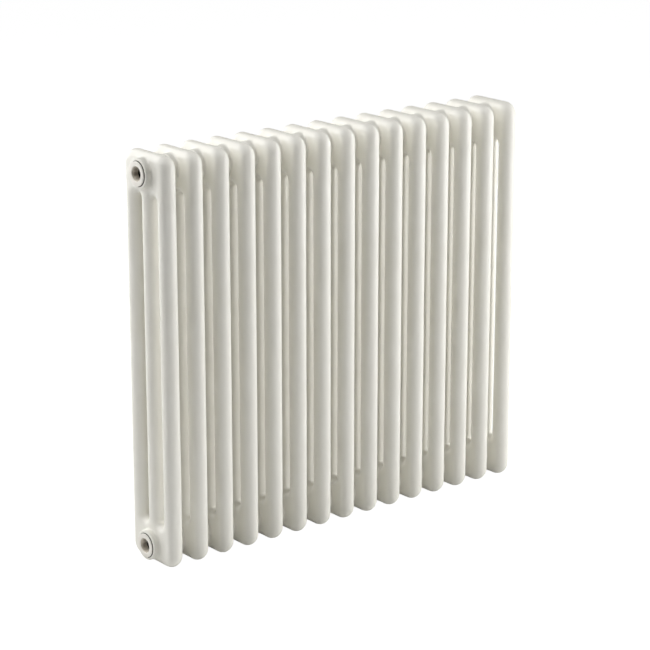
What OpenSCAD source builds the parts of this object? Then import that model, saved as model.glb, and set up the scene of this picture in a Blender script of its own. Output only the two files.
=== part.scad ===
// Column radiator in steel. Each section has three tubes between two pressed heads. The heads'
// hubs are joined by screwed nipples with flat gaskets. The end hubs hold reducing bushes, and
// at the right-hand end a blanking plug (bottom) and an air vent (top).
// Origin: bottom centre of the whole assembly. +X runs along the row of sections, -Y is the
// front and +Z is up. Screw threads are plain walls at their major diameter.

/* [Radiator] */
// Number of sections side by side
sections = 15; // [4:1:15]
// Distance between the centres of neighbouring sections
pitch = 45; // [44:0.5:60]
// Overall height
height = 600; // [300:10:1200]
// Depth of a hub's axis below the top, and its height above the bottom
hub_inset = 28; // [27:0.5:34]

/* [Columns] */
// Outer diameter of a column tube
tube_d = 25; // [24:0.5:27]
// Wall thickness of a column tube
tube_wall = 1.25; // [1:0.05:1.5]
// Distance between the axes of neighbouring columns, front to rear
column_step = 38; // [36:0.5:42]

/* [Heads] */
// Radius of a head's front and rear corners, seen from the end
corner_r = 20; // [16:0.5:26]
// Sheet thickness of a head
head_wall = 1.5; // [1.2:0.1:2]
// Depth of an arch's apex below the top of its head
arch_depth = 60; // [57:1:70]
// Length of a head's legs, from the arch's axis to the joint with the tubes
leg = 6; // [3:1:20]

/* [Hubs] */
// Outer radius of a hub
hub_r = 22; // [20.5:0.25:23]
// Major diameter of the thread in a hub, G1
hub_thread_d = 33.25; // [33:0.05:34]
// Length of the thread in a hub
hub_thread_l = 14; // [12:0.5:16]
// Radius of the recess in a hub's face
recess_r = 18.2; // [17.8:0.1:19]
// Depth of the recess in a hub's face
recess_depth = 1; // [0.75:0.25:1.5]
// Thickness of the flat gasket between two hubs
gasket_t = 1; // [0.5:0.25:2]
// Length of a nipple
nipple_l = 24; // [18:1:26]
// Radius of a nipple's waterway
nipple_bore_r = 12.8; // [12:0.1:13.5]

/* [Bushes] */
// Major diameter of the tapping, G1/2
tapping_d = 20.955; // [20.9:0.005:21]
// Length of a bush
bush_l = 10.5; // [10:0.5:14]
// Distance that a bush stands out of its hub
bush_out = 2; // [2:0.25:3.5]
// Thickness of a bush's flange
bush_flange_t = 1.5; // [1:0.25:1.75]
// Radius of a bush's flange
bush_flange_r = 17.5; // [17.3:0.1:17.6]
// Width of the bevel at a tapping's mouth
mouth_bevel = 0.8; // [0.5:0.1:1]

/* [Plug and vent] */
// Length of the shank that screws into a bush
shank_l = 9; // [7:0.5:10]
// Width of the plug's hexagon across its flats
plug_af = 17; // [15:1:19]
// Width of the vent's hexagon across its flats
vent_af = 24; // [23:1:25]
// Outer radius of the vent's spout ring
spout_ring_r = 9.5; // [9:0.25:10.5]
// Reach of the spout's nozzle from the vent's axis
spout_reach = 15; // [13:0.5:17]
// Width of the square on the bleed screw
key_square = 5; // [4.5:0.1:5.5]

/* [Clearances] */
// Radial clearance of a screwed pair
thread_gap = 0.04; // [0.02:0.01:0.08]
// Radial clearance of a turning pair
turning_gap = 0.05; // [0.03:0.01:0.08]
// Clearance between faces that slide past each other
face_gap = 0.3; // [0.2:0.05:0.5]

/* [Hidden] */
$fn = 64;
tube_r = tube_d / 2;
head_inner_r = tube_r - head_wall;
bend_r = corner_r - tube_r;
corner_y = column_step - bend_r;
corner_z = height - corner_r;
arch_y = column_step / 2;
arch_z = height - arch_depth - (arch_y - tube_r);
joint_z = arch_z - leg;
// Flattens the arch's edge a hair where it runs into the flank
arch_relief = 0.05;
hub_z = height - hub_inset;
hub_face = (pitch - gasket_t) / 2;
hub_bore_r = hub_thread_d / 2;
hub_bevel = 0.8;
gasket_inset = 0.2;
nipple_lug = 3;
tapping_r = tapping_d / 2 + thread_gap;
shank_r = tapping_d / 2;
seal_t = recess_depth + bush_out - bush_flange_t;
fitting_seal_t = 1;
fitting_seal_w = 2;
fitting_seal_r = tapping_r + mouth_bevel + 0.1;
flange_r = fitting_seal_r + fitting_seal_w;
plug_flange_t = 2.5;
plug_hex_t = 5;
plug_hollow_r = 7;
plug_hollow_l = 7;
// Vent, measured outward from the bush's face
vent_flange_end = fitting_seal_t + 4;
neck_r = 6;
spout_start = vent_flange_end + face_gap;
spout_w = 5.8;
spout_mid = spout_start + spout_w / 2;
lip_start = spout_start + spout_w + face_gap;
lip_t = 1;
lip_r = 6.9;
lip_end = lip_start + lip_t;
groove_w = 1.8;
groove_depth = 1;
nozzle_r = 2.6;
nozzle_bore_r = 1.3;
port_r = 0.8;
screw_r = 2.2;
screw_waist_r = 1.4;
screw_waist_start = 6.6;
screw_waist_end = 9.9;
screw_tip_r = 0.6;
screw_tip_start = 5.2;
seat_z = 5;
seat_bore_r = 1;
square_start = lip_end + face_gap;
vent_end = square_start + key_square;
// Sections stand in a row that is centred together with the bushes and the vent
overall_l = (sections - 1) * pitch + 2 * hub_face + 2 * bush_out + vent_end;
left_face_x = -overall_l / 2;
right_face_x = overall_l / 2 - vent_end;

enamel = "#f5f3ea";
brass = "#cdb36a";
plated = "#dcdad3";
rubber = "#2d2c2a";
steel = "#8b8d8f";
plastic = "#efeee8";

function number(i) = str(i < 10 ? "0" : "", i);
function section_x(i) = left_face_x + bush_out + hub_face + (i - 1) * pitch;
function joint_x(i) = section_x(i) + pitch / 2;

// ---- Placing ----

// Turns a shape revolved about Z so that its axis is +X, its X is +Y and its Y is +Z
module axis_to_x() {
    rotate(120, [1, 1, 1]) children();
}

// Puts a fitting in an end hub: the child's +X points out of the hub, from the bush's face
module at_left(z) {
    translate([left_face_x, 0, z]) mirror([1, 0, 0]) children();
}

module at_right(z) {
    translate([right_face_x, 0, z]) children();
}

// A ring about X, from x to x + w
module ring(x, w, inner, outer) {
    translate([x, 0, 0]) axis_to_x() difference() {
        cylinder(h = w, r = outer);
        translate([0, 0, -1]) cylinder(h = w + 2, r = inner);
    }
}

module rod(x, w, r) {
    translate([x, 0, 0]) axis_to_x() cylinder(h = w, r = r);
}

// A hexagonal prism about X, with its width across the flats
module hexagon(x, w, af) {
    translate([x, 0, 0]) axis_to_x() cylinder(h = w, r = af / sqrt(3), $fn = 6);
}

// ---- Heads ----

// A flat-sided strip with one half-round edge, clipped at its straight end
module edge_profile(r) {
    intersection() {
        translate([0, -r]) square([corner_r, 2 * r]);
        union() {
            translate([0, -r]) square([bend_r, 2 * r]);
            translate([bend_r, 0]) circle(r);
        }
    }
}

// A head without its arches: every outer edge is half-round with radius r
module pillow(r, z_low) {
    translate([0, 0, z_low]) linear_extrude(corner_z - z_low) {
        square([2 * r, 2 * column_step], center = true);
        for (s = [-1, 1])
            translate([0, s * column_step]) circle(r);
    }
    translate([0, 0, corner_z]) rotate([90, -90, 0])
        linear_extrude(2 * corner_y, center = true) edge_profile(r);
    for (s = [0, 1])
        mirror([0, s, 0]) translate([0, corner_y, corner_z])
            axis_to_x() rotate_extrude(angle = 90) edge_profile(r);
}

// The gap between two columns with its round arch, waisted so that a half-round edge remains
module arch_gap(r, z_low) {
    reach = r + 1;
    translate([0, 0, arch_z]) axis_to_x() rotate_extrude(angle = 180) difference() {
        translate([0, -reach]) square([arch_y, 2 * reach]);
        translate([arch_y, 0]) circle(r + arch_relief);
    }
    translate([0, 0, z_low]) linear_extrude(arch_z - z_low) difference() {
        square([2 * reach, 2 * arch_y], center = true);
        for (s = [-1, 1])
            translate([0, s * arch_y]) circle(r + arch_relief);
    }
}

module head_form(r, z_low) {
    difference() {
        pillow(r, z_low);
        for (s = [-1, 1])
            translate([0, s * arch_y, 0]) arch_gap(r, z_low - 1);
    }
}

// One hub with its outer edge bevelled, from its thread's inner end to its face
module hub() {
    translate([hub_face - hub_thread_l, 0, 0]) axis_to_x() {
        cylinder(h = hub_thread_l - hub_bevel, r = hub_r);
        translate([0, 0, hub_thread_l - hub_bevel])
            cylinder(h = hub_bevel, r1 = hub_r, r2 = hub_r - hub_bevel);
    }
}

module head() {
    difference() {
        union() {
            difference() {
                head_form(tube_r, joint_z);
                head_form(head_inner_r, joint_z - 1);
            }
            for (s = [0, 1])
                translate([0, 0, hub_z]) mirror([s, 0, 0]) hub();
        }
        translate([0, 0, hub_z]) {
            rod(-hub_face - 1, 2 * hub_face + 2, hub_bore_r);
            for (s = [0, 1])
                mirror([s, 0, 0]) rod(hub_face - recess_depth, recess_depth + 1, recess_r);
        }
    }
}

module header_top(i) {
    color(enamel) translate([section_x(i), 0, 0]) head();
}

module header_bottom(i) {
    color(enamel) translate([section_x(i), 0, height]) mirror([0, 0, 1]) head();
}

// ---- Columns ----

module columns(i) {
    low = height - joint_z;
    color(enamel) for (s = [-1:1])
        translate([section_x(i), s * column_step, low]) difference() {
            cylinder(h = joint_z - low, r = tube_r);
            translate([0, 0, -1]) cylinder(h = joint_z - low + 2, r = tube_r - tube_wall);
        }
}

// ---- Joints between the sections ----

// A nipple has two lugs inside, for the bar that turns it
module nipple() {
    ring(-nipple_l / 2, nipple_l, nipple_bore_r, hub_bore_r - thread_gap);
    for (s = [-1, 1])
        translate([0, 0, s * nipple_bore_r]) cube([nipple_l, nipple_lug, nipple_lug], center = true);
}

module nipples(z) {
    color(steel) for (i = [1:sections - 1])
        translate([joint_x(i), 0, z]) nipple();
}

module gaskets(z) {
    color(rubber) for (i = [1:sections - 1])
        translate([joint_x(i), 0, z])
            ring(-gasket_t / 2, gasket_t, recess_r, hub_r - hub_bevel - gasket_inset);
}

// ---- End hubs ----

module bush() {
    color(plated) axis_to_x() difference() {
        union() {
            translate([0, 0, -bush_l]) cylinder(h = bush_l, r = hub_bore_r - thread_gap);
            translate([0, 0, -bush_flange_t]) cylinder(h = bush_flange_t, r = bush_flange_r);
        }
        translate([0, 0, -bush_l - 1]) cylinder(h = bush_l + 2, r = tapping_r);
        translate([0, 0, -mouth_bevel])
            cylinder(h = 2 * mouth_bevel, r1 = tapping_r, r2 = tapping_r + 2 * mouth_bevel);
    }
}

module bush_seal() {
    ring(-recess_depth - bush_out, seal_t, hub_bore_r, bush_flange_r);
}

module bush_seals() {
    color(rubber) for (z = [hub_z, height - hub_z]) {
        at_left(z) bush_seal();
        at_right(z) bush_seal();
    }
}

module fitting_seals() {
    color(rubber) for (z = [hub_z, height - hub_z])
        at_right(z) ring(0, fitting_seal_t, fitting_seal_r, flange_r);
}

module blanking_plug() {
    color(plated) at_right(height - hub_z) difference() {
        union() {
            rod(-shank_l, shank_l + fitting_seal_t, shank_r);
            rod(fitting_seal_t, plug_flange_t, flange_r);
            hexagon(fitting_seal_t + plug_flange_t, plug_hex_t, plug_af);
        }
        rod(-shank_l - 1, plug_hollow_l + 1, plug_hollow_r);
    }
}

// ---- Air vent ----

module vent_body() {
    color(plated) at_right(hub_z) difference() {
        union() {
            rod(-shank_l, shank_l + fitting_seal_t, shank_r);
            rod(fitting_seal_t, 1, flange_r);
            hexagon(fitting_seal_t + 1, vent_flange_end - fitting_seal_t - 1, vent_af);
            rod(vent_flange_end, lip_end - vent_flange_end, neck_r);
            rod(lip_start, lip_t, lip_r);
        }
        rod(-shank_l - 1, shank_l + seat_z + 2, seat_bore_r);
        rod(seat_z, lip_end, screw_r + turning_gap);
        translate([spout_mid, 0, -neck_r - 1]) cylinder(h = neck_r + 1, r = port_r);
    }
}

// The ring turns on the vent's neck, and a groove inside it feeds the nozzle at any angle
module vent_spout() {
    color(plastic) at_right(hub_z) difference() {
        union() {
            rod(spout_start, spout_w, spout_ring_r);
            translate([spout_mid, 0, -spout_reach]) cylinder(h = spout_reach, r = nozzle_r);
        }
        rod(spout_start - 1, spout_w + 2, neck_r + turning_gap);
        rod(spout_mid - groove_w / 2, groove_w, neck_r + groove_depth);
        translate([spout_mid, 0, -spout_reach - 1]) cylinder(h = spout_reach, r = nozzle_bore_r);
    }
}

module bleed_screw() {
    color(brass) at_right(hub_z) {
        translate([screw_tip_start + face_gap, 0, 0]) axis_to_x() cylinder(
            h = screw_waist_start - screw_tip_start - face_gap,
            r1 = screw_tip_r,
            r2 = screw_waist_r
        );
        rod(screw_waist_start, screw_waist_end - screw_waist_start, screw_waist_r);
        rod(screw_waist_end, square_start - screw_waist_end, screw_r);
        translate([square_start + key_square / 2, 0, 0]) cube(key_square, center = true);
    }
}

for (i = [1:sections]) {
    header_top(i);
    header_bottom(i);
    columns(i);
}
nipples(hub_z);  // nipples_top
nipples(height - hub_z);  // nipples_bottom
gaskets(hub_z);  // gaskets_top
gaskets(height - hub_z);  // gaskets_bottom
at_left(hub_z) bush();  // bush_top_left
at_left(height - hub_z) bush();  // bush_bottom_left
at_right(hub_z) bush();  // bush_top_right
at_right(height - hub_z) bush();  // bush_bottom_right
bush_seals();
fitting_seals();
blanking_plug();
vent_body();
vent_spout();
bleed_screw();
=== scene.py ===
"""Looks of the column radiator: smooth pressed heads, tubes, threaded bushes and end fittings."""

import math

import bmesh
import bpy
import numpy as np
from mathutils import Matrix, Vector


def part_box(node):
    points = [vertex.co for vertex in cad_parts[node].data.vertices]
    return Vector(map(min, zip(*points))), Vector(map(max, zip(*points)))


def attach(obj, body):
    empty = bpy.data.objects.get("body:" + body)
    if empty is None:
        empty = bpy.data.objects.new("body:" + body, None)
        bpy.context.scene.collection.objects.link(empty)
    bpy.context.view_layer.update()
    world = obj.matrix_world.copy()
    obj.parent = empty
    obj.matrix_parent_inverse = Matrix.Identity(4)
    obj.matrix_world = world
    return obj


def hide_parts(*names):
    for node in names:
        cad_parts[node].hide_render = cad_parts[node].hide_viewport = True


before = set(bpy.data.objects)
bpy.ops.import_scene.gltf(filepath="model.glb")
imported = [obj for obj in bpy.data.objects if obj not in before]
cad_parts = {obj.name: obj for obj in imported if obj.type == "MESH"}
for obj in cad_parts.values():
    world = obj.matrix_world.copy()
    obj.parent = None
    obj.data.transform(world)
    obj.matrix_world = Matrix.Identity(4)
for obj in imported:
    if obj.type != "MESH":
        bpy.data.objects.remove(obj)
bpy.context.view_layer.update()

MM = 0.001
SECTIONS = sum(name.startswith("columns_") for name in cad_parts)


# ---- Sizes read from the frame ----

def span(node, axis):
    low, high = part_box(node)
    return low[axis], high[axis]


def middle(node, axis):
    low, high = span(node, axis)
    return (low + high) / 2


def section_name(kind, i):
    return f"{kind}_{i + 1:02d}"


SECTION_X = [middle(section_name("columns", i), 0) for i in range(SECTIONS)]
HEIGHT = span("header_top_01", 2)[1]
JOINT_Z = span("header_top_01", 2)[0]
HALF_DEPTH = span("header_top_01", 1)[1]
TUBE_R = round((span("columns_01", 0)[1] - span("columns_01", 0)[0]) / 2, 4)
COLUMN_Y = HALF_DEPTH - TUBE_R
HUB_FACE = (span("header_top_01", 0)[1] - span("header_top_01", 0)[0]) / 2
HUB_Z = middle("bush_top_left", 2)
LEFT_FACE = span("bush_top_left", 0)[0]
RIGHT_FACE = span("bush_top_right", 0)[1]
BUSH_R = span("bush_top_left", 1)[1]
BUSH_L = span("bush_top_left", 0)[1] - LEFT_FACE

# ---- Sizes of the details ----

CORNER_R = 20 * MM
BEND_R = CORNER_R - TUBE_R
ARCH_Y = COLUMN_Y / 2
ARCH_Z = JOINT_Z + 6 * MM
HUB_R = 22 * MM
HUB_EDGE_R = 1.6 * MM
HUB_FILLET = 2.6 * MM
FLANK_BLEND = 5 * MM
RECESS_R = 18.2 * MM
RECESS_DEPTH = 1 * MM
RECESS_BEVEL = 0.4 * MM
HUB_BORE_R = 16.62 * MM
SKIN_CELL = 1.9 * MM
SPOUT_CELL = 0.45 * MM
ON_SKIN = 2e-5
MERGE_DISTANCE = 1e-7
SHARP_DEG = 35
TUBE_WALL = 1.25 * MM
FLANGE_T = 1.5 * MM
THREAD_R = 10.5175 * MM
THREAD_DEPTH = 1.16 * MM
THREAD_PITCH = 1.814 * MM
THREAD_GAP = 0.04 * MM
THREAD_ROWS = 8
RUN_OUT_ROWS = 10
MOUTH_BEVEL = 0.8 * MM
RING_POINTS = 96

# Fittings, measured outward from the outer faces of the right end's bushes
SHANK_L = RIGHT_FACE - span("vent_body", 0)[0]
SHANK_R = 10.4775 * MM
SEAL_T = span("fitting_seals", 0)[1] - RIGHT_FACE
FLANGE_R = span("fitting_seals", 1)[1]
HOLLOW_R = 7 * MM
HOLLOW_L = 7 * MM
PLUG_HEX = 3.5 * MM
PLUG_END = span("blanking_plug", 0)[1] - RIGHT_FACE
PLUG_FLATS = 17 * MM
PLUG_DIMPLE_R = 3 * MM
VENT_HEX = 2 * MM
VENT_NECK = 5 * MM
VENT_END = span("vent_body", 0)[1] - RIGHT_FACE
VENT_LIP = VENT_END - 1 * MM
VENT_FLATS = 24 * MM
NECK_R = 6 * MM
LIP_R = 6.9 * MM
SEAT_BORE_R = 1 * MM
PORT_R = 0.8 * MM
SPOUT_MID = middle("vent_spout", 0) - RIGHT_FACE
SPOUT_W = span("vent_spout", 0)[1] - span("vent_spout", 0)[0]
SPOUT_R = span("vent_spout", 1)[1]
SPOUT_REACH = HUB_Z - span("vent_spout", 2)[0]
GROOVE_W = 1.8 * MM
GROOVE_D = 1 * MM
NOZZLE_R = 2.6 * MM
NOZZLE_BORE_R = 1.3 * MM
SCREW_TIP = span("bleed_screw", 0)[0] - RIGHT_FACE
SCREW_TIP_R = 0.6 * MM
SCREW_WAIST = 6.6 * MM
SCREW_SHAFT = 9.9 * MM
SCREW_WAIST_R = 1.4 * MM
SCREW_R = 2.2 * MM
KEY_END = span("bleed_screw", 0)[1] - RIGHT_FACE
KEY_SQUARE = span("bleed_screw", 1)[1] - span("bleed_screw", 1)[0]
KEY_START = KEY_END - KEY_SQUARE
SLOT_DEPTH = 1.2 * MM
SLOT_WIDTH = 1 * MM
TURNING_GAP = 0.05 * MM


# ---- Meshes ----

def new_object(name, mesh):
    made = bpy.data.objects.new(name, mesh)
    bpy.context.scene.collection.objects.link(made)
    return made


def mesh_from(name, points, faces, sharp_deg=SHARP_DEG):
    mesh = bpy.data.meshes.new(name)
    mesh.from_pydata([tuple(p) for p in points], [], [tuple(f) for f in faces])
    mesh.polygons.foreach_set("use_smooth", [True] * len(mesh.polygons))
    mesh.set_sharp_from_angle(angle=math.radians(sharp_deg))
    mesh.update()
    return mesh


def surface_net(field, low, high, cell):
    """Points and quads of the surface where field is 0. field is negative inside."""
    axes = [np.arange(low[a], high[a] + cell, cell) for a in range(3)]
    grid = np.meshgrid(*axes, indexing="ij")
    value = field(*grid)
    inside = value < 0
    cells = tuple(n - 1 for n in value.shape)
    total = np.zeros(cells + (3,))
    count = np.zeros(cells)
    crossings = []
    for axis in range(3):
        here = [slice(None)] * 3
        there = [slice(None)] * 3
        here[axis], there[axis] = slice(0, -1), slice(1, None)
        here, there = tuple(here), tuple(there)
        crossed = inside[here] != inside[there]
        crossings.append((crossed, inside[here]))
        share = np.where(crossed, value[here] / np.where(crossed, value[here] - value[there], 1), 0)
        point = np.stack([g[here] for g in grid], -1)
        point[..., axis] += share * cell
        side_axes = [a for a in range(3) if a != axis]
        for da in (0, 1):
            for db in (0, 1):
                part = [slice(None)] * 3
                for a, d in zip(side_axes, (da, db)):
                    part[a] = slice(d, d + cells[a])
                part = tuple(part)
                total += point[part] * crossed[part][..., None]
                count += crossed[part]
    used = count > 0
    index = np.full(cells, -1)
    index[used] = np.arange(used.sum())
    points = total[used] / count[used][:, None]
    faces = []
    for axis in range(3):
        crossed, first_inside = crossings[axis]
        b, c = (axis + 1) % 3, (axis + 2) % 3
        at = np.argwhere(crossed)
        at = at[(at[:, b] > 0) & (at[:, c] > 0) & (at[:, b] < cells[b]) & (at[:, c] < cells[c])]
        corners = []
        for db, dc in ((1, 1), (0, 1), (0, 0), (1, 0)):
            near = at.copy()
            near[:, b] -= db
            near[:, c] -= dc
            corners.append(index[tuple(near.T)])
        quads = np.stack(corners, 1)
        flip = ~first_inside[tuple(at.T)]
        quads[flip] = quads[flip][:, ::-1]
        faces.append(quads)
    return points, np.concatenate(faces)


def gradient(field, points):
    step = 1e-5
    parts = []
    for axis in range(3):
        shift = np.zeros(3)
        shift[axis] = step
        ahead, behind = (points + shift).T, (points - shift).T
        parts.append((field(*ahead) - field(*behind)) / (2 * step))
    return np.stack(parts, -1)


def settle(field, points, rounds=5):
    """Moves points onto the surface where field is 0."""
    for _ in range(rounds):
        slope = gradient(field, points)
        size = np.maximum((slope**2).sum(1), 1e-6)
        points = points - slope * (field(*points.T) / size)[:, None]
    return points


def smooth_max(a, b, width):
    blend = np.maximum(width - np.abs(a - b), 0) / width
    return np.maximum(a, b) + blend**2 * width / 4


def smooth_min(a, b, width):
    return -smooth_max(-a, -b, width)


def lathe(name, profile, segments=RING_POINTS, sharp_deg=SHARP_DEG):
    """Turns a closed outline of (x, radius) points about the X axis."""
    turn = np.arange(segments) * 2 * math.pi / segments
    rows = [np.stack([np.full(segments, x), r * np.cos(turn), r * np.sin(turn)], 1) for x, r in profile]
    return loft(name, rows, sharp_deg)


def loft(name, rows, sharp_deg=SHARP_DEG):
    """Joins rings of points, the last to the first, into a closed skin."""
    n = len(rows[0])
    faces = []
    for i in range(len(rows)):
        j = (i + 1) % len(rows)
        for k in range(n):
            m = (k + 1) % n
            faces.append((i * n + k, j * n + k, j * n + m, i * n + m))
    mesh = mesh_from(name, np.concatenate(rows), faces, sharp_deg)
    made = bmesh.new()
    made.from_mesh(mesh)
    bmesh.ops.remove_doubles(made, verts=made.verts, dist=MERGE_DISTANCE)
    bmesh.ops.delete(made, geom=[e for e in made.edges if e.is_wire], context="EDGES")
    bmesh.ops.recalc_face_normals(made, faces=made.faces)
    made.to_mesh(mesh)
    made.free()
    mesh.set_sharp_from_angle(angle=math.radians(sharp_deg))
    return mesh


def rounded(outline, steps=4):
    """A closed outline of (x, radius, corner radius) points with its corners as arcs."""
    made = []
    count = len(outline)
    for i, (x, r, corner) in enumerate(outline):
        here = np.array([x, r])
        before = np.array(outline[i - 1][:2])
        after = np.array(outline[(i + 1) % count][:2])
        if corner <= 0:
            made.append(tuple(here))
            continue
        u = (before - here) / np.linalg.norm(before - here)
        v = (after - here) / np.linalg.norm(after - here)
        half = math.acos(max(-1, min(1, float(u @ v)))) / 2
        reach = corner / math.tan(half)
        centre = here + (u + v) / np.linalg.norm(u + v) * corner / math.sin(half)
        start, end = here + u * reach - centre, here + v * reach - centre
        a0 = math.atan2(start[1], start[0])
        sweep = (math.atan2(end[1], end[0]) - a0 + math.pi) % (2 * math.pi) - math.pi
        for k in range(steps + 1):
            a = a0 + sweep * k / steps
            made.append((centre[0] + corner * math.cos(a), centre[1] + corner * math.sin(a)))
    return made


# ---- Heads ----

def corner_distance(a, b):
    """Distance from a square corner to points that lie a and b past its two sides, negative inside it."""
    return np.hypot(np.maximum(a, 0), np.maximum(b, 0)) + np.minimum(np.maximum(a, b), 0)


def outline_distance(y, z):
    """Distance from the middle outline of a head, seen from the end, negative inside it."""
    top = HEIGHT - TUBE_R
    dy = np.abs(y) - (COLUMN_Y - BEND_R)
    dz = z - (top - BEND_R)
    body = corner_distance(dy, dz) - BEND_R
    arch = ARCH_Y - np.hypot(np.abs(y) - ARCH_Y, z - ARCH_Z)
    legs = np.minimum(np.abs(y), np.abs(np.abs(y) - COLUMN_Y))
    return np.where(z > ARCH_Z, np.maximum(body, arch), legs)


def head_field(x, y, z):
    outline = smooth_max(outline_distance(y, z), 0 * z, FLANK_BLEND)
    body = np.hypot(x, outline) - TUBE_R
    across = np.hypot(y, z - HUB_Z) - (HUB_R - HUB_EDGE_R)
    along = np.abs(x) - (HUB_FACE - HUB_EDGE_R)
    return smooth_min(body, corner_distance(across, along) - HUB_EDGE_R, HUB_FILLET)


def cut(mesh, cutter_mesh):
    """The mesh less the cutter."""
    body = new_object("cut_body", mesh)
    tool = new_object("cut_tool", cutter_mesh)
    step = body.modifiers.new("cut", "BOOLEAN")
    step.operation, step.solver, step.object = "DIFFERENCE", "EXACT", tool
    graph = bpy.context.evaluated_depsgraph_get()
    made = bpy.data.meshes.new_from_object(body.evaluated_get(graph))
    for used in (body, tool):
        bpy.data.objects.remove(used)
    return made


def follow_field(mesh, field, sharp_deg=SHARP_DEG):
    """Gives the mesh normals from the field wherever it lies on the field's surface."""
    mesh.polygons.foreach_set("use_smooth", [True] * len(mesh.polygons))
    mesh.set_sharp_from_angle(angle=math.radians(sharp_deg))
    points = np.array([v.co for v in mesh.vertices])
    slope = gradient(field, points)
    slope /= np.maximum(np.linalg.norm(slope, axis=1), 1e-9)[:, None]
    on_skin = np.abs(field(*points.T)) < ON_SKIN
    loops = [tuple(n.vector) for n in mesh.corner_normals]
    for face in mesh.polygons:
        corners = list(face.vertices)
        if on_skin[corners].all() and float(slope[corners].mean(0) @ np.array(face.normal)) > 0.9:
            for loop, vertex in zip(face.loop_indices, corners):
                loops[loop] = tuple(slope[vertex])
    mesh.normals_split_custom_set(loops)


def head_mesh():
    margin = 3 * SKIN_CELL
    low = (-HUB_FACE - margin, -HALF_DEPTH - margin, JOINT_Z - margin)
    high = (HUB_FACE + margin, HALF_DEPTH + margin, HEIGHT + margin)
    cells = [math.ceil((h - l) / SKIN_CELL / 2) for l, h in zip(low, high)]
    centre = [(l + h) / 2 for l, h in zip(low, high)]
    low = [c - n * SKIN_CELL for c, n in zip(centre, cells)]
    high = [c + (n - 0.5) * SKIN_CELL for c, n in zip(centre, cells)]
    points, faces = surface_net(head_field, low, high, SKIN_CELL)
    points = settle(head_field, points)
    mesh = mesh_from("head_raw", points, faces)
    made = bmesh.new()
    made.from_mesh(mesh)
    every = made.verts[:] + made.edges[:] + made.faces[:]
    bmesh.ops.bisect_plane(
        made, geom=every, dist=MERGE_DISTANCE, plane_co=(0, 0, JOINT_Z), plane_no=(0, 0, -1), clear_outer=True
    )
    bmesh.ops.holes_fill(made, edges=[e for e in made.edges if e.is_boundary], sides=0)
    bmesh.ops.recalc_face_normals(made, faces=made.faces)
    made.to_mesh(mesh)
    made.free()
    past = 1 * MM
    half = [
        (HUB_FACE - RECESS_DEPTH, HUB_BORE_R), (HUB_FACE - RECESS_DEPTH, RECESS_R),
        (HUB_FACE - RECESS_BEVEL, RECESS_R), (HUB_FACE + past, RECESS_R + RECESS_BEVEL + past),
        (HUB_FACE + past, 0),
    ]
    bore = lathe("bore", [(-x, r) for x, r in half[::-1]] + half, segments=128)
    bore.transform(Matrix.Translation((0, 0, HUB_Z)))
    mesh = cut(mesh, bore)
    follow_field(mesh, head_field)
    mesh.name = "head"
    return mesh


def upside_down(mesh, field):
    turned = mesh.copy()
    turned.transform(Matrix.Translation((0, 0, HEIGHT)) @ Matrix.Diagonal((1, 1, -1, 1)))
    turned.flip_normals()
    follow_field(turned, lambda x, y, z: field(x, y, HEIGHT - z))
    turned.name = "head_upside_down"
    return turned


# ---- Columns ----

def columns_mesh():
    low, high = span("columns_01", 2)
    bore_r = TUBE_R - TUBE_WALL
    profile = [(low, TUBE_R), (high, TUBE_R), (high, bore_r), (low, bore_r)]
    tube = lathe("tube", profile)
    joined = bmesh.new()
    for y in (-COLUMN_Y, 0, COLUMN_Y):
        single = tube.copy()
        single.transform(Matrix.Translation((0, y, 0)) @ Matrix.Rotation(math.radians(-90), 4, "Y"))
        joined.from_mesh(single)
    mesh = bpy.data.meshes.new("columns")
    joined.to_mesh(mesh)
    joined.free()
    mesh.set_sharp_from_angle(angle=math.radians(SHARP_DEG))
    return mesh


# ---- Fittings: x is outward from the end bush's outer face, on the hub's axis ----

TURN = np.arange(RING_POINTS) * 2 * math.pi / RING_POINTS


def polygon_radius(sides, flats):
    """Radius all round a regular polygon with a corner at +Y."""
    half = math.pi / sides
    return flats / 2 / np.cos(TURN % (2 * half) - half)


def turned(name, rows, sharp_deg=SHARP_DEG):
    """A closed skin about X from (x, radius) rows. A radius may be one number or one a point."""
    rings = [np.stack([x + 0 * TURN, r * np.cos(TURN), r * np.sin(TURN)], 1) for x, r in rows]
    return loft(name, rings, sharp_deg)


def chamfered(low, high, radius, face_share, slope_deg, ends=(True, True), steps=6):
    """Rows of a prism from low to high whose corners are turned down to a cone at its ends."""
    face = radius.min() * face_share
    drop = (radius.max() - face) * math.tan(math.radians(slope_deg))
    rows = []
    for end, inward, turned_down in ((low, 1, ends[0]), (high, -1, ends[1])):
        if not turned_down:
            rows.append([(end, radius)])
            continue
        cone = [(end + inward * drop * k, face + (radius.max() - face) * k) for k in np.linspace(0, 1, steps)]
        rows.append([(x, np.minimum(radius, limit)) for x, limit in cone])
    return rows[0] + rows[1][::-1]


def thread_rows(outer, inner, radius):
    """Rows of an inside thread from outer to inner, with its start run out at the mouth."""
    count = round((outer - inner) / THREAD_PITCH * THREAD_ROWS)
    rows = []
    for k in range(count + 1):
        x = outer + (inner - outer) * k / count
        phase = (x / THREAD_PITCH - TURN / (2 * math.pi)) % 1
        height = np.clip((np.abs(2 * phase - 1) - 0.14) / 0.72, 0, 1)
        run_out = min(1, k / RUN_OUT_ROWS)
        rows.append((x, radius - THREAD_DEPTH * run_out * height))
    return rows


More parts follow.
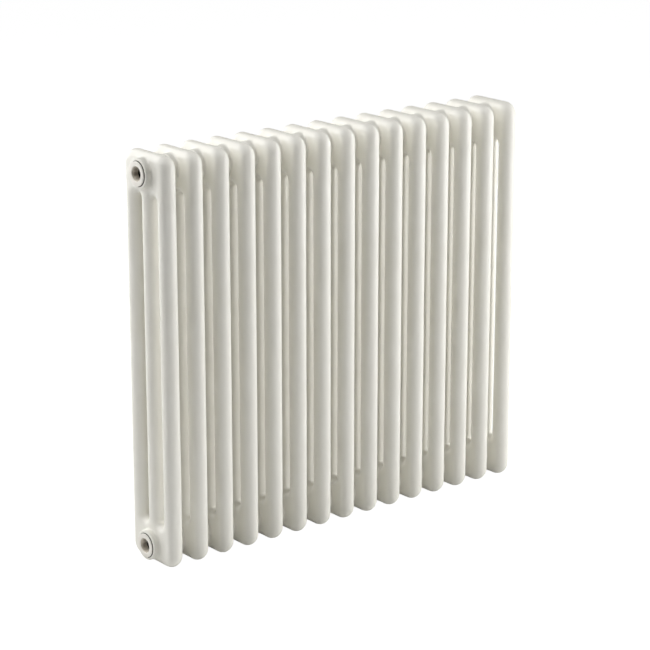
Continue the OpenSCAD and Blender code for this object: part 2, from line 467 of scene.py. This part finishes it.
def bush_mesh(name, threaded):
    body_r = HUB_BORE_R - THREAD_GAP
    mouth_r = THREAD_R + MOUTH_BEVEL
    outside = rounded([
        (-BUSH_L, body_r, 0.6 * MM), (-FLANGE_T, body_r, 0), (-FLANGE_T, BUSH_R, 0.25 * MM),
        (0, BUSH_R, 0.9 * MM), (0, mouth_r, 0.25 * MM), (-MOUTH_BEVEL, THREAD_R, 0), (-BUSH_L, THREAD_R, 0),
    ])
    if threaded:
        outside = outside[:-1] + thread_rows(-MOUTH_BEVEL - 0.1 * MM, -BUSH_L, THREAD_R)
    return turned(name, outside, 40)


def plug_mesh():
    hexagon = polygon_radius(6, PLUG_FLATS)
    rows = rounded([
        (-SHANK_L, HOLLOW_R, 0), (-SHANK_L, SHANK_R, 0.8 * MM), (SEAL_T, SHANK_R, 0),
        (SEAL_T, FLANGE_R, 0.2 * MM), (PLUG_HEX, FLANGE_R, 0.6 * MM), (PLUG_HEX, PLUG_FLATS * 0.6, 0),
    ])
    rows += chamfered(PLUG_HEX, PLUG_END, hexagon, 0.97, 30, ends=(False, True))
    rows += [(PLUG_END, PLUG_DIMPLE_R), (PLUG_END - 0.5 * MM, PLUG_DIMPLE_R * 0.8), (PLUG_END - 0.5 * MM, 0)]
    rows += [(HOLLOW_L - SHANK_L, 0), (HOLLOW_L - SHANK_L, HOLLOW_R)]
    return turned("plug", rows)


def vent_mesh():
    hexagon = polygon_radius(6, VENT_FLATS)
    rows = rounded([
        (-SHANK_L, SEAT_BORE_R, 0), (-SHANK_L, SHANK_R, 0.8 * MM), (SEAL_T, SHANK_R, 0),
        (SEAL_T, FLANGE_R, 0.2 * MM), (VENT_HEX, FLANGE_R, 0.2 * MM), (VENT_HEX, VENT_FLATS * 0.48, 0),
    ])
    rows += chamfered(VENT_HEX, VENT_NECK, hexagon, 0.98, 30)
    rows += rounded([
        (VENT_NECK, NECK_R, 0), (VENT_LIP, NECK_R, 0), (VENT_LIP, LIP_R, 0.25 * MM),
        (VENT_END, LIP_R, 0.35 * MM), (VENT_END, SCREW_R + TURNING_GAP, 0.15 * MM),
        (VENT_NECK, SCREW_R + TURNING_GAP, 0), (VENT_NECK, SEAT_BORE_R, 0),
    ])
    port = turned("port", [(0, 0), (0, PORT_R), (NECK_R * 1.2, PORT_R), (NECK_R * 1.2, 0)])
    port.transform(Matrix.Translation((SPOUT_MID, 0, 0)) @ Matrix.Rotation(math.radians(90), 4, "Y"))
    mesh = cut(turned("vent", rows), port)
    mesh.set_sharp_from_angle(angle=math.radians(SHARP_DEG))
    return mesh


def spout_field(x, y, z):
    """The spout without its bores: a round-edged ring that runs into a round-ended nozzle."""
    edge, end = 0.9 * MM, 0.7 * MM
    along = np.abs(x - SPOUT_MID) - (SPOUT_W / 2 - edge)
    across = np.hypot(y, z) - (SPOUT_R - edge)
    ring = corner_distance(along, across) - edge
    taper = 0.25 * MM * np.clip(-z / SPOUT_REACH, 0, 1)
    around = np.hypot(x - SPOUT_MID, y) - (NOZZLE_R - end - taper)
    down = np.abs(z + SPOUT_REACH / 2) - (SPOUT_REACH / 2 - end)
    nozzle = corner_distance(around, down) - end
    return smooth_min(ring, nozzle, 2 * MM)


def spout_mesh():
    margin = 2 * MM
    low = (SPOUT_MID - SPOUT_W / 2 - margin, -SPOUT_R - margin, -SPOUT_REACH - margin)
    high = (SPOUT_MID + SPOUT_W / 2 + margin, SPOUT_R + margin, SPOUT_R + margin)
    points, faces = surface_net(spout_field, low, high, SPOUT_CELL)
    mesh = mesh_from("spout_raw", settle(spout_field, points), faces)
    past = 5 * MM
    bore_r = NECK_R + TURNING_GAP
    groove_r = NECK_R + GROOVE_D
    bore = turned("spout_bore", [
        (-past, 0), (-past, bore_r), (SPOUT_MID - GROOVE_W / 2, bore_r), (SPOUT_MID - GROOVE_W / 2, groove_r),
        (SPOUT_MID + GROOVE_W / 2, groove_r), (SPOUT_MID + GROOVE_W / 2, bore_r),
        (VENT_END + past, bore_r), (VENT_END + past, 0),
    ])
    way = turned("spout_way", [
        (0, 0), (0, NOZZLE_BORE_R), (SPOUT_REACH - 0.5 * MM, NOZZLE_BORE_R),
        (SPOUT_REACH + 0.5 * MM, NOZZLE_BORE_R + 1 * MM), (SPOUT_REACH + 0.5 * MM, 0),
    ])
    way.transform(Matrix.Translation((SPOUT_MID, 0, 0)) @ Matrix.Rotation(math.radians(90), 4, "Y"))
    mesh = cut(cut(mesh, bore), way)
    follow_field(mesh, spout_field)
    return mesh


def screw_mesh():
    square = np.minimum(polygon_radius(4, KEY_SQUARE), KEY_SQUARE * 0.66)
    square = np.roll(square, RING_POINTS // 8)
    rows = [
        (SCREW_TIP, 0), (SCREW_TIP, SCREW_TIP_R), (SCREW_WAIST, SCREW_WAIST_R), (SCREW_SHAFT, SCREW_WAIST_R),
        (SCREW_SHAFT, SCREW_R - 0.3 * MM), (SCREW_SHAFT + 0.3 * MM, SCREW_R), (KEY_START, SCREW_R),
    ]
    rows += chamfered(KEY_START, KEY_END, square, 0.94, 35)
    rows += [(KEY_END, 0)]
    slot = bpy.data.meshes.new("slot")
    made = bmesh.new()
    bmesh.ops.create_cube(made, size=1)
    made.to_mesh(slot)
    made.free()
    size = Matrix.Diagonal((2 * SLOT_DEPTH, 2 * KEY_SQUARE, SLOT_WIDTH, 1))
    slot.transform(Matrix.Translation((KEY_END, 0, 0)) @ size)
    mesh = cut(turned("screw", rows), slot)
    mesh.set_sharp_from_angle(angle=math.radians(SHARP_DEG))
    return mesh


# ---- Materials ----

class Paint:
    """A material with its shader, and short ways to add nodes to it."""

    def __init__(self, name):
        self.material = bpy.data.materials.new(name)
        self.material.use_nodes = True
        self.tree = self.material.node_tree
        self.shader = self.tree.nodes["Principled BSDF"]
        self.place = self.node("TexCoord").outputs["Object"]

    def node(self, kind, **inputs):
        made = self.tree.nodes.new("ShaderNode" + kind)
        for name, value in inputs.items():
            self.feed(made.inputs[name.replace("_", " ")], value)
        return made

    def feed(self, socket, value):
        if isinstance(value, bpy.types.NodeSocket):
            self.tree.links.new(value, socket)
        else:
            socket.default_value = value

    def noise(self, size, detail=2.0, place=None):
        """Noise from 0 to 1 whose marks are about that size."""
        made = self.node("TexNoise", Scale=1 / size, Detail=detail)
        self.feed(made.inputs["Vector"], place or self.place)
        return made.outputs["Fac"]

    def spread(self, value, low, high, start=0.35, end=0.65):
        made = self.node("MapRange", Value=value)
        for name, number in (("From Min", start), ("From Max", end), ("To Min", low), ("To Max", high)):
            made.inputs[name].default_value = number
        return made.outputs["Result"]

    def between(self, share, low, high):
        """A colour between two colours."""
        made = self.tree.nodes.new("ShaderNodeMix")
        made.data_type = "RGBA"
        self.feed(made.inputs[0], share)
        for socket, colour in ((made.inputs[6], low), (made.inputs[7], high)):
            self.feed(socket, colour if isinstance(colour, bpy.types.NodeSocket) else (*colour, 1))
        return made.outputs[2]

    def hollows(self, reach):
        """1 on open faces, towards 0 where a surface is hidden in a hollow."""
        made = self.tree.nodes.new("ShaderNodeAmbientOcclusion")
        made.samples = 8
        made.inputs["Distance"].default_value = reach
        return made.outputs["AO"]

    def bumps(self, height, strength, distance):
        made = self.node("Bump", Strength=strength, Distance=distance)
        self.feed(made.inputs["Height"], height)
        return made.outputs["Normal"]

    def finish(self, **inputs):
        for name, value in inputs.items():
            self.feed(self.shader.inputs[name.replace("_", " ")], value)
        return self.material


def gloss_enamel(name, clear, mottle_and_shade):
    """Stoved gloss enamel: a trace of orange peel, a random mottle, and painted shade, a darker and warmer
    tone in hollows.
    """
    paint = Paint(name)
    tone = paint.between(paint.spread(paint.noise(60 * MM), 0, 0.5), clear, mottle_and_shade)
    # Painted shade: ambient occlusion turns the colour towards the darker, warmer tone in hollows.
    painted_shade_share = paint.spread(paint.hollows(14 * MM), 0.6, 0, 0.25, 0.9)
    tone = paint.between(painted_shade_share, tone, mottle_and_shade)
    peel = paint.bumps(paint.noise(2.2 * MM, 1.0), 0.12, 0.05 * MM)
    return paint.finish(
        Base_Color=tone, Roughness=paint.spread(paint.noise(25 * MM), 0.3, 0.38), Normal=peel,
        IOR=1.5, Specular_IOR_Level=0.5,
    )


def turned_metal(name, bright, dull, rough, metallic=1.0):
    """Metal with fine rings round its axis, left by the lathe, and cloudy patches."""
    paint = Paint(name)
    parts = paint.node("SeparateXYZ", Vector=paint.place)
    flat = paint.node("CombineXYZ", Y=parts.outputs["Y"], Z=parts.outputs["Z"])
    length = paint.node("VectorMath", Vector=flat.outputs["Vector"])
    length.operation = "LENGTH"
    rings = paint.node("CombineXYZ", X=parts.outputs["X"], Y=length.outputs["Value"])
    marks = paint.noise(0.35 * MM, 2.0, rings.outputs["Vector"])
    clouds = paint.noise(5 * MM, 3.0)
    return paint.finish(
        Base_Color=paint.between(paint.spread(clouds, 0, 1), bright, dull), Metallic=metallic,
        Roughness=paint.spread(marks, rough - 0.07, rough + 0.1),
        Normal=paint.bumps(marks, 0.15, 0.05 * MM),
    )


def moulded(name, light, dark, rough, grain, depth):
    """Rubber or plastic with a fine grain."""
    paint = Paint(name)
    grains = paint.noise(grain, 3.0)
    return paint.finish(
        Base_Color=paint.between(paint.spread(paint.noise(6 * MM), 0, 1), light, dark),
        Roughness=paint.spread(grains, rough - 0.06, rough + 0.08),
        Normal=paint.bumps(grains, 0.3, depth),
    )


# The second colour of each enamel serves both as its random mottle and as its painted shade in hollows.
ENAMEL = gloss_enamel("enamel", (0.86, 0.845, 0.78), (0.82, 0.8, 0.72))
THREAD_STEEL = turned_metal("thread_steel", (0.7, 0.65, 0.56), (0.55, 0.5, 0.42), 0.5, 0.15)
BUSH_ENAMEL = gloss_enamel("bush_enamel", (0.86, 0.83, 0.77), (0.8, 0.76, 0.68))
# Bare steel made near-black as painted shade, for the bores and recesses of the heads.
BORE_STEEL_AND_SHADE = turned_metal("bore_steel_and_shade", (0.12, 0.11, 0.095), (0.06, 0.053, 0.045), 0.5)
NIPPLE_STEEL = turned_metal("nipple_steel", (0.5, 0.49, 0.47), (0.36, 0.34, 0.31), 0.4)
NICKEL = turned_metal("nickel", (0.76, 0.73, 0.67), (0.66, 0.62, 0.55), 0.26)
BRASS = turned_metal("brass", (0.76, 0.58, 0.27), (0.6, 0.43, 0.18), 0.3)
SILICONE = moulded("gasket_silicone", (0.6, 0.59, 0.54), (0.5, 0.49, 0.44), 0.6, 0.8 * MM, 0.03 * MM)
RUBBER = moulded("rubber", (0.045, 0.043, 0.04), (0.03, 0.028, 0.026), 0.7, 0.6 * MM, 0.03 * MM)
PLASTIC = moulded("spout_plastic", (0.86, 0.86, 0.83), (0.82, 0.82, 0.78), 0.42, 0.4 * MM, 0.01 * MM)


def set_material(mesh, *materials):
    mesh.materials.clear()
    for material in materials:
        mesh.materials.append(material)


def bores_second_material(mesh, axis_z, radius):
    """Gives what lies within that radius of the bore's axis the mesh's second material."""
    for face in mesh.polygons:
        if math.hypot(face.center.y, face.center.z - axis_z) < radius:
            face.material_index = 1


# ---- Pieces ----

def add_piece(name, mesh, nodes, place, body="radiator", half_turn=False):
    piece = new_object(name, mesh)
    piece.location = place
    if half_turn:
        piece.rotation_euler.z = math.pi
    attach(piece, body)
    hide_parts(*nodes)
    return piece


top_head = head_mesh()
bottom_head = upside_down(top_head, head_field)
columns = columns_mesh()
# Painted shade: each head's bore and recess take near-black steel, darker than bare steel. It stands in for
# the shade deep in the bore and draws the dark line round the bush.
for mesh, hub_z in ((top_head, HUB_Z), (bottom_head, HEIGHT - HUB_Z)):
    set_material(mesh, ENAMEL, BORE_STEEL_AND_SHADE)
    bores_second_material(mesh, hub_z, RECESS_R + 0.15 * MM)
set_material(columns, ENAMEL)
for i, x in enumerate(SECTION_X):
    for kind, mesh, node_kind in (
        ("head_top", top_head, "header_top"), ("head_bottom", bottom_head, "header_bottom"),
        ("tubes", columns, "columns"),
    ):
        add_piece(section_name(kind, i), mesh, [section_name(node_kind, i)], (x, 0, 0))

threaded_bush = bush_mesh("threaded_bush", True)
filled_bush = bush_mesh("filled_bush", False)
for mesh in (threaded_bush, filled_bush):
    set_material(mesh, BUSH_ENAMEL, THREAD_STEEL)
    bores_second_material(mesh, 0, THREAD_R + 0.05 * MM)
for row, z in (("top", HUB_Z), ("bottom", HEIGHT - HUB_Z)):
    left, right = f"bush_{row}_left", f"bush_{row}_right"
    add_piece(f"reducing_{left}", threaded_bush, [left], (LEFT_FACE, 0, z), half_turn=True)
    add_piece(f"reducing_{right}", filled_bush, [right], (RIGHT_FACE, 0, z))

for name, mesh, node, material, z, body in (
    ("plug", plug_mesh(), "blanking_plug", NICKEL, HEIGHT - HUB_Z, "radiator"),
    ("vent", vent_mesh(), "vent_body", NICKEL, HUB_Z, "radiator"),
    ("spout", spout_mesh(), "vent_spout", PLASTIC, HUB_Z, "spout"),
    ("screw", screw_mesh(), "bleed_screw", BRASS, HUB_Z, "bleed_screw"),
):
    set_material(mesh, material)
    add_piece(name, mesh, [node], (RIGHT_FACE, 0, z), body)

for node, material in (
    ("nipples_top", NIPPLE_STEEL), ("nipples_bottom", NIPPLE_STEEL), ("gaskets_top", SILICONE),
    ("gaskets_bottom", SILICONE), ("bush_seals", RUBBER), ("fitting_seals", RUBBER),
):
    set_material(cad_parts[node].data, material)


# ---- Stage ----

CAMERA_AZIMUTH, CAMERA_ELEVATION, CAMERA_DISTANCE = -38.4, 16.35, 3.4
CAMERA_TARGET = (SECTION_X[0] + 0.3055, 0, 0.2972)
CAMERA_LENS = 126.8
# Name, azimuth, elevation, width, height and power in watts. Azimuth 0 is the front, 90 is the right end.
LIGHTS = [
    ("right_strip", 35, 5, 0.4, 2.2, 39),
    ("right_box", 65, 15, 2.4, 2.4, 40),
    ("rear_left_box", -160, 20, 2.4, 2.4, 48),
    ("upper_left_box", -110, 50, 2.4, 2.4, 42),
    ("top_box", 0, 85, 2.4, 2.4, 12),
]
LIGHT_DISTANCE = 2.6
WORLD_STRENGTH = 0.02
FLOOR_GLOW = 0.985
FLOOR_HALF = 20
WALL_HEIGHT = 12


def backward(azimuth, elevation):
    """The way from the object towards a light or camera."""
    a, e = math.radians(azimuth), math.radians(elevation)
    return Vector((math.sin(a) * math.cos(e), -math.cos(a) * math.cos(e), math.sin(e)))


def add_viewed(name, data, azimuth, elevation, distance, target):
    """A light or camera at that distance from its target, aimed at it."""
    made = bpy.data.objects.new(name, data)
    bpy.context.scene.collection.objects.link(made)
    back = backward(azimuth, elevation)
    made.location = Vector(target) + back * distance
    made.rotation_mode = "QUATERNION"
    made.rotation_quaternion = back.to_track_quat("Z", "Y")
    return made


lens = bpy.data.cameras.new("camera")
lens.lens = CAMERA_LENS
camera = add_viewed("camera", lens, CAMERA_AZIMUTH, CAMERA_ELEVATION, CAMERA_DISTANCE, CAMERA_TARGET)
bpy.context.scene.camera = camera

for name, azimuth, elevation, width, height, watts in LIGHTS:
    lamp = bpy.data.lights.new(name, "AREA")
    lamp.shape = "RECTANGLE"
    lamp.size, lamp.size_y = width, height
    lamp.energy = watts
    add_viewed(name, lamp, azimuth, elevation, LIGHT_DISTANCE, (0, 0, HEIGHT / 2))


def add_floor(name, z, tone, glow, seen):
    """A wide level plane. The one that the camera sees has walls. The other only reflects light."""
    square = ((-1, -1), (1, -1), (1, 1), (-1, 1))
    levels = (z, z + WALL_HEIGHT) if seen else (z,)
    corners = [(x * FLOOR_HALF, y * FLOOR_HALF, h) for h in levels for x, y in square]
    walls = [(i, (i + 1) % 4, (i + 1) % 4 + 4, i + 4) for i in range(4)]
    plane = new_object(name, mesh_from(name, corners, [(0, 1, 2, 3)] + (walls if seen else [])))
    paint = bpy.data.materials.new(name)
    paint.use_nodes = True
    shader = paint.node_tree.nodes["Principled BSDF"]
    shader.inputs["Base Color"].default_value = (tone, tone, tone, 1)
    shader.inputs["Roughness"].default_value = 1
    shader.inputs["Specular IOR Level"].default_value = 0
    shader.inputs["Emission Color"].default_value = (1, 1, 1, 1)
    shader.inputs["Emission Strength"].default_value = glow
    set_material(plane.data, paint)
    plane.visible_camera = seen
    plane.visible_diffuse = plane.visible_glossy = plane.visible_shadow = not seen


add_floor("floor", 0, 0.2, FLOOR_GLOW, True)
add_floor("floor_bounce", -0.5 * MM, 0.9, 0, False)

world = bpy.data.worlds.new("world")
world.use_nodes = True
world.node_tree.nodes["Background"].inputs["Color"].default_value = (1, 1, 1, 1)
world.node_tree.nodes["Background"].inputs["Strength"].default_value = WORLD_STRENGTH
bpy.context.scene.world = world
bpy.context.scene.view_settings.view_transform = "Standard"
